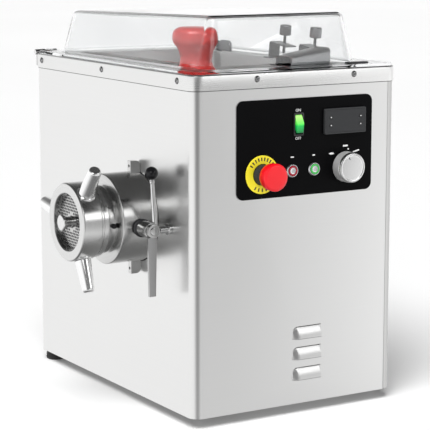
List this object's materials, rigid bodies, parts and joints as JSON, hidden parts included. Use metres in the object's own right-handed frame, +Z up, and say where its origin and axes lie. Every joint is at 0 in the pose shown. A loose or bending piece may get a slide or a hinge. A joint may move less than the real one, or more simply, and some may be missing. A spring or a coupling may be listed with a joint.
{
  "type": "electric meat grinder",
  "caption": "Stainless-steel table-top meat grinder with a polished grinding head, tray under a clear hinged lid, red pusher and side control panel.",
  "frame": {"origin": "middle of the footprint of the whole machine, head and hinges included, on the surface it stands on", "axes": "+Z up, -Y out of the grinding head (the outlet side), +X out of the control panel"},
  "size_m": [0.5798, 0.4946, 0.6077],
  "materials": {
    "casing_steel": "satin brushed stainless sheet",
    "polished_steel": "polished stainless",
    "head_steel": "turned and polished stainless casting",
    "dark_steel": "satin, reflecting dark surroundings",
    "button_steel": "satin stainless",
    "cast_metal": "as cast",
    "motor_aluminium": "die cast",
    "fin_aluminium": "finned",
    "black_enamel": "semi-gloss",
    "black_plastic": "fine satin",
    "black_panel": "satin",
    "grey_plastic": "satin",
    "foot_rubber": "matt",
    "red_plastic": "gloss",
    "yellow_plastic": "satin",
    "green_plastic": "gloss",
    "clear_plastic": "clear, polished"
  },
  "bodies": {
    "casing": {"base_plate": "casing_steel", "body_wrap": "casing_steel", "rear_cover": "casing_steel", "top_rim": "casing_steel", "meat_tray": "casing_steel", "feed_throat": "polished_steel", "power_inlet": "black_plastic", "foot_front_left": "foot_rubber", "foot_rear_left": "foot_rubber", "foot_front_right": "foot_rubber", "foot_rear_right": "foot_rubber", "control_panel": "black_panel", "thermostat_body": "grey_plastic", "estop_legend": "yellow_plastic", "grinding_barrel": "head_steel", "perforated_plate": "head_steel", "lock_stud": "polished_steel", "hinge_fixed_front": "casing_steel", "hinge_fixed_rear": "casing_steel", "feed_guard": "dark_steel", "clamp_bracket_left": "dark_steel", "clamp_bracket_right": "dark_steel", "gearbox_housing": "cast_metal", "gearbox_cover": "cast_metal", "output_bearing": "polished_steel", "head_socket": "cast_metal", "shaft_seal": "foot_rubber", "drive_motor": "motor_aluminium", "electrical_box": "grey_plastic", "compressor": "black_enamel", "condenser": "fin_aluminium"},
    "lid": {"lid": "clear_plastic", "hinge_moving_front": "casing_steel", "hinge_moving_rear": "casing_steel", "lid_magnet": "black_plastic"},
    "pusher": {"pusher": "red_plastic"},
    "thumbscrew_left": {"thumbscrew_left": "dark_steel"},
    "thumbscrew_right": {"thumbscrew_right": "dark_steel"},
    "rocker_switch": {"rocker_switch": "green_plastic"},
    "estop_mushroom": {"estop_mushroom": "red_plastic"},
    "stop_button": {"stop_button": "button_steel"},
    "start_button": {"start_button": "button_steel"},
    "selector_knob": {"selector_knob": "polished_steel"},
    "thermostat_key_1": {"thermostat_key_1": "grey_plastic"},
    "thermostat_key_2": {"thermostat_key_2": "grey_plastic"},
    "thermostat_key_3": {"thermostat_key_3": "grey_plastic"},
    "thermostat_key_4": {"thermostat_key_4": "grey_plastic"},
    "ring_nut": {"ring_nut": "polished_steel"},
    "auger": {"worm": "head_steel", "worm_stud": "polished_steel", "cross_knife": "head_steel", "output_shaft": "polished_steel", "output_gear": "cast_metal"},
    "countershaft": {"countershaft": "polished_steel", "countershaft_gear": "cast_metal"},
    "motor_rotor": {"motor_pinion_shaft": "polished_steel"},
    "condenser_fan": {"condenser_fan": "black_plastic"},
    "ball_lever": {"ball_lever": "polished_steel", "lever_ball": "black_plastic"},
    "clamp_bar": {"clamp_bar": "casing_steel"}
  },
  "joints": [
    {"name": "lid_hinge", "type": "hinge", "parent": "casing", "child": "lid", "pos_m": [-0.2854, 0.0633, 0.527], "axis": [0, -1, 0], "range_deg": [0, 95]},
    {"name": "pusher_lift", "type": "slide", "parent": "casing", "child": "pusher", "axis": [0, 0, 1], "range_m": [0, 0.012]},
    {"name": "thumbscrew_left_turn", "type": "hinge", "parent": "casing", "child": "thumbscrew_left", "pos_m": [0.05482, 0.1613, 0.52403], "axis": [0.1392, 0, 0.9903], "range_deg": [0, 720]},
    {"name": "thumbscrew_right_turn", "type": "hinge", "parent": "casing", "child": "thumbscrew_right", "pos_m": [0.13982, 0.1613, 0.52403], "axis": [0.1392, 0, 0.9903], "range_deg": [0, 720]},
    {"name": "rocker_tip", "type": "hinge", "parent": "casing", "child": "rocker_switch", "pos_m": [0.2469, 0.0627, 0.446], "axis": [0, 1, 0], "range_deg": [0, 20]},
    {"name": "estop_press", "type": "slide", "parent": "casing", "child": "estop_mushroom", "axis": [-1, 0, 0], "range_m": [0, 0.005]},
    {"name": "stop_press", "type": "slide", "parent": "casing", "child": "stop_button", "axis": [-1, 0, 0], "range_m": [0, 0.003], "stiffness_N_per_m": 400},
    {"name": "start_press", "type": "slide", "parent": "casing", "child": "start_button", "axis": [-1, 0, 0], "range_m": [0, 0.003], "stiffness_N_per_m": 400},
    {"name": "selector_turn", "type": "hinge", "parent": "casing", "child": "selector_knob", "pos_m": [0.2489, 0.1471, 0.377], "axis": [1, 0, 0], "range_deg": [-45, 45]},
    {"name": "thermostat_key_1_press", "type": "slide", "parent": "casing", "child": "thermostat_key_1", "axis": [-1, 0, 0], "range_m": [0, 0.0008], "stiffness_N_per_m": 500},
    {"name": "thermostat_key_2_press", "type": "slide", "parent": "casing", "child": "thermostat_key_2", "axis": [-1, 0, 0], "range_m": [0, 0.0008], "stiffness_N_per_m": 500},
    {"name": "thermostat_key_3_press", "type": "slide", "parent": "casing", "child": "thermostat_key_3", "axis": [-1, 0, 0], "range_m": [0, 0.0008], "stiffness_N_per_m": 500},
    {"name": "thermostat_key_4_press", "type": "slide", "parent": "casing", "child": "thermostat_key_4", "axis": [-1, 0, 0], "range_m": [0, 0.0008], "stiffness_N_per_m": 500},
    {"name": "ring_nut_turn", "type": "hinge", "parent": "casing", "child": "ring_nut", "pos_m": [0.0746, -0.2167, 0.299], "axis": [0, 1, 0], "range_deg": [0, 1080]},
    {"name": "auger_spin", "type": "hinge", "parent": "casing", "child": "auger", "pos_m": [0.0746, -0.0367, 0.299], "axis": [0, 1, 0], "continuous": true},
    {"name": "countershaft_spin", "type": "hinge", "parent": "casing", "child": "countershaft", "pos_m": [0.0746, 0.1633, 0.197], "axis": [0, 1, 0], "continuous": true},
    {"name": "motor_spin", "type": "hinge", "parent": "casing", "child": "motor_rotor", "pos_m": [0.0746, 0.1133, 0.107], "axis": [0, 1, 0], "continuous": true},
    {"name": "fan_spin", "type": "hinge", "parent": "casing", "child": "condenser_fan", "pos_m": [-0.1604, 0.1853, 0.141], "axis": [0, 1, 0], "continuous": true},
    {"name": "ball_lever_turn", "type": "hinge", "parent": "casing", "child": "ball_lever", "pos_m": [0.1646, -0.1477, 0.293], "axis": [1, 0, 0], "range_deg": [0, 90]},
    {"name": "clamp_bar_swing", "type": "hinge", "parent": "casing", "child": "clamp_bar", "pos_m": [0.1801, -0.1477, 0.293], "axis": [-1, 0, 0], "range_deg": [-10, 60]}
  ],
  "couplings": [
    {"joint": "countershaft_spin", "follows": "auger_spin", "ratio": -2},
    {"joint": "motor_spin", "follows": "auger_spin", "ratio": 6}
  ]
}
